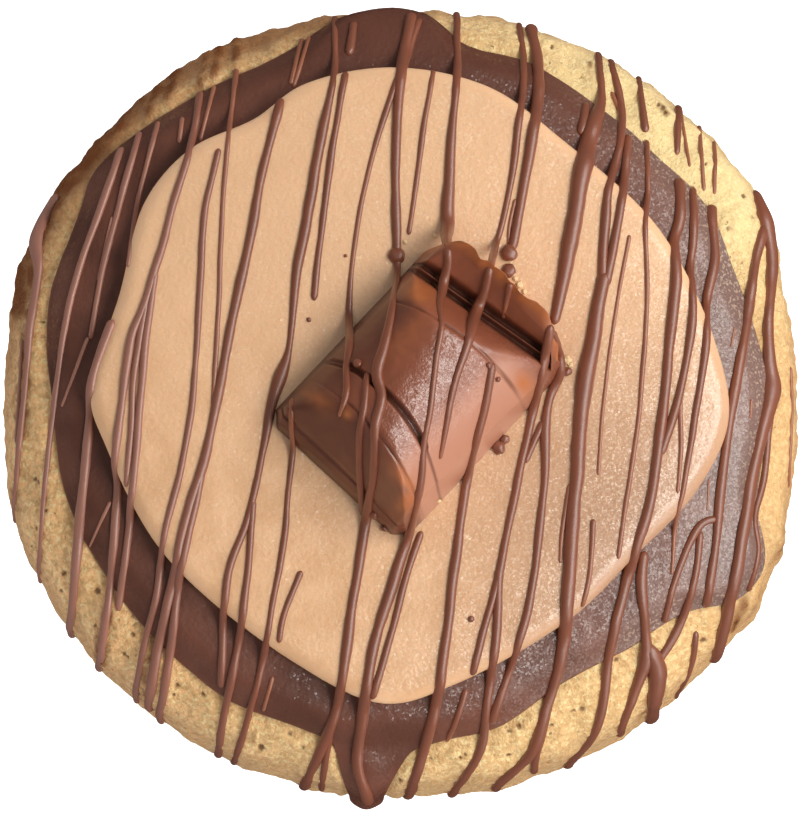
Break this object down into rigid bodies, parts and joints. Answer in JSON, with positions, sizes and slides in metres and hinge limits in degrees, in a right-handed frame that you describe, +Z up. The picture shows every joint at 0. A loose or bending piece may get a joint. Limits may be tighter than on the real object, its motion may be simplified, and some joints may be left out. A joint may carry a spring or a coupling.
{
  "type": "stuffed cookie",
  "caption": "Thick round baked cookie topped with a chocolate pool, hazelnut cream, a broken chocolate bar piece and chocolate drizzle.",
  "frame": {"origin": "middle of the cookie on the surface it rests on", "axes": "+Z up, through the cookie's thickness; +X and +Y across it, with +Y away from the pictured front"},
  "size_m": [0.0989, 0.099, 0.0444],
  "materials": {
    "dough": "matte baked crust",
    "chocolate": "satin set chocolate",
    "cream": "satin cream",
    "bar": "satin moulded chocolate"
  },
  "bodies": {
    "root": {"cookie": "dough", "chocolate_layer": "chocolate", "cream_layer": "cream", "bar_piece": "bar"}
  },
  "joints": []
}
